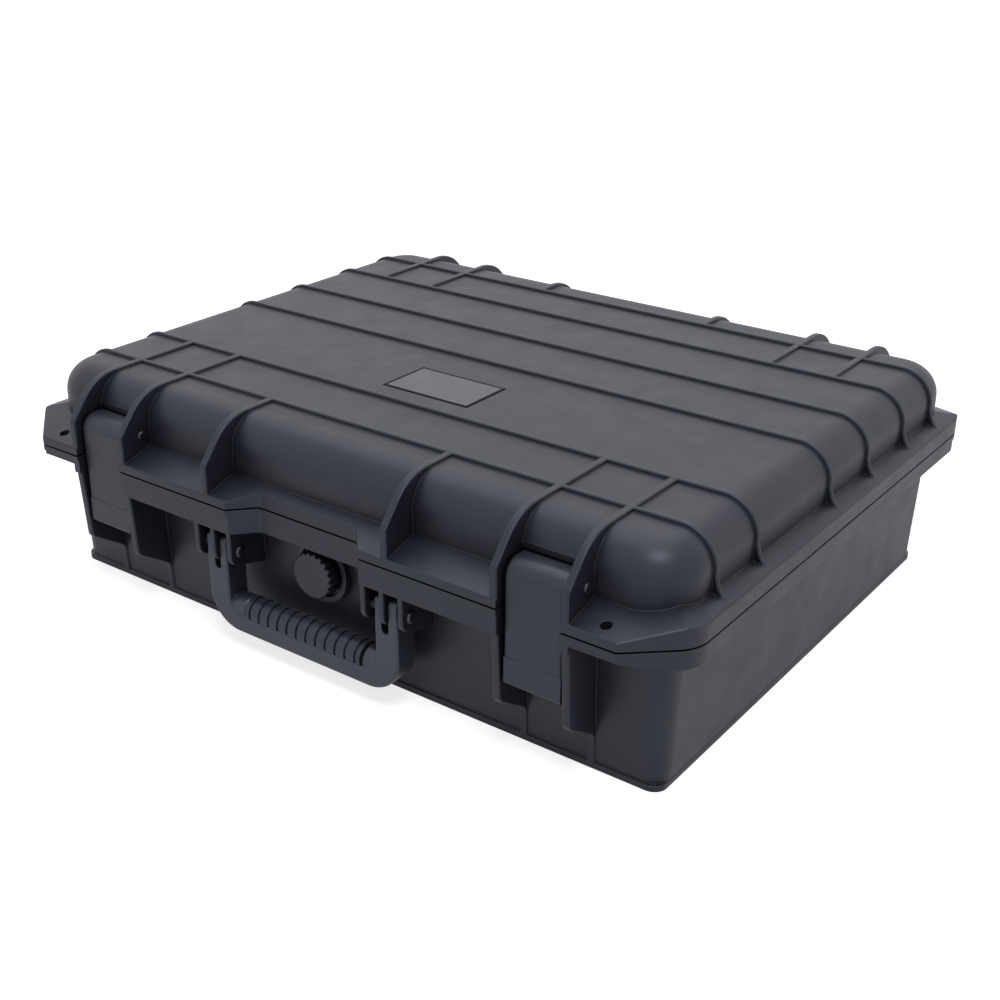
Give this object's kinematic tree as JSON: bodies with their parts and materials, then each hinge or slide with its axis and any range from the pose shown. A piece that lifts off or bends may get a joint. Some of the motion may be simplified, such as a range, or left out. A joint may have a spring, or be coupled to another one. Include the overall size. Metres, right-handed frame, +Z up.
{
  "type": "laptop hard case",
  "caption": "Ribbed moulded hard case for a laptop, with a domed lid on a rear hinge, double-throw latches, a folding handle, a pressure valve and foam inside.",
  "frame": {"origin": "under the middle of the closed case, on the surface it lies on", "axes": "+X along the case's long side, to the right seen from the handle; +Y from the handle to the hinge; +Z up"},
  "size_m": [0.497, 0.4098, 0.1459],
  "materials": {
    "shell_plastic": "fine moulded grain, matt",
    "latch_plastic": "satin",
    "handle_plastic": "satin",
    "grip_rubber": "matt, ringed",
    "valve_plastic": "matt",
    "seal_rubber": "matt",
    "plate": "satin, bare",
    "pin_steel": "dull",
    "foam": "open-cell foam"
  },
  "bodies": {
    "base": {"base_shell": "shell_plastic", "hinge_pin_left": "pin_steel", "hinge_pin_right": "pin_steel", "handle_pin_left": "pin_steel", "handle_pin_right": "pin_steel", "valve_housing": "valve_plastic", "valve_gasket": "seal_rubber", "valve_nut": "valve_plastic", "base_foam_pad": "foam", "base_foam_tray": "foam"},
    "lid": {"lid_shell": "shell_plastic", "lid_seal": "seal_rubber", "nameplate": "plate", "lid_foam": "foam", "latch_pin_left": "pin_steel", "latch_pin_right": "pin_steel"},
    "latch_left": {"latch_body_left": "latch_plastic", "lever_pin_left": "pin_steel"},
    "latch_right": {"latch_body_right": "latch_plastic", "lever_pin_right": "pin_steel"},
    "lever_left": {"latch_lever_left": "latch_plastic"},
    "lever_right": {"latch_lever_right": "latch_plastic"},
    "handle": {"handle_frame": "handle_plastic", "handle_grip": "grip_rubber"},
    "valve": {"valve_knob": "valve_plastic"}
  },
  "joints": [
    {"name": "lid_hinge", "type": "hinge", "parent": "base", "child": "lid", "pos_m": [0, 0.19935, 0.0975], "axis": [-1, 0, 0], "range_deg": [0, 100]},
    {"name": "latch_hinge_left", "type": "hinge", "parent": "lid", "child": "latch_left", "pos_m": [-0.16479, -0.18815, 0.1173], "axis": [-1, 0, 0], "range_deg": [0, 100]},
    {"name": "latch_hinge_right", "type": "hinge", "parent": "lid", "child": "latch_right", "pos_m": [0.16479, -0.18815, 0.1173], "axis": [-1, 0, 0], "range_deg": [0, 100]},
    {"name": "lever_hinge_left", "type": "hinge", "parent": "latch_left", "child": "lever_left", "pos_m": [-0.16479, -0.19115, 0.0618], "axis": [-1, 0, 0], "range_deg": [-9.5, 45]},
    {"name": "lever_hinge_right", "type": "hinge", "parent": "latch_right", "child": "lever_right", "pos_m": [0.16479, -0.19115, 0.0618], "axis": [-1, 0, 0], "range_deg": [-9.5, 45]},
    {"name": "handle_hinge", "type": "hinge", "parent": "base", "child": "handle", "pos_m": [0, -0.19615, 0.0675], "axis": [-1, 0, 0], "range_deg": [0, 90]},
    {"name": "valve_turn", "type": "hinge", "parent": "base", "child": "valve", "pos_m": [0, -0.184, 0.0635], "axis": [0, -1, 0], "range_deg": [0, 270]}
  ]
}
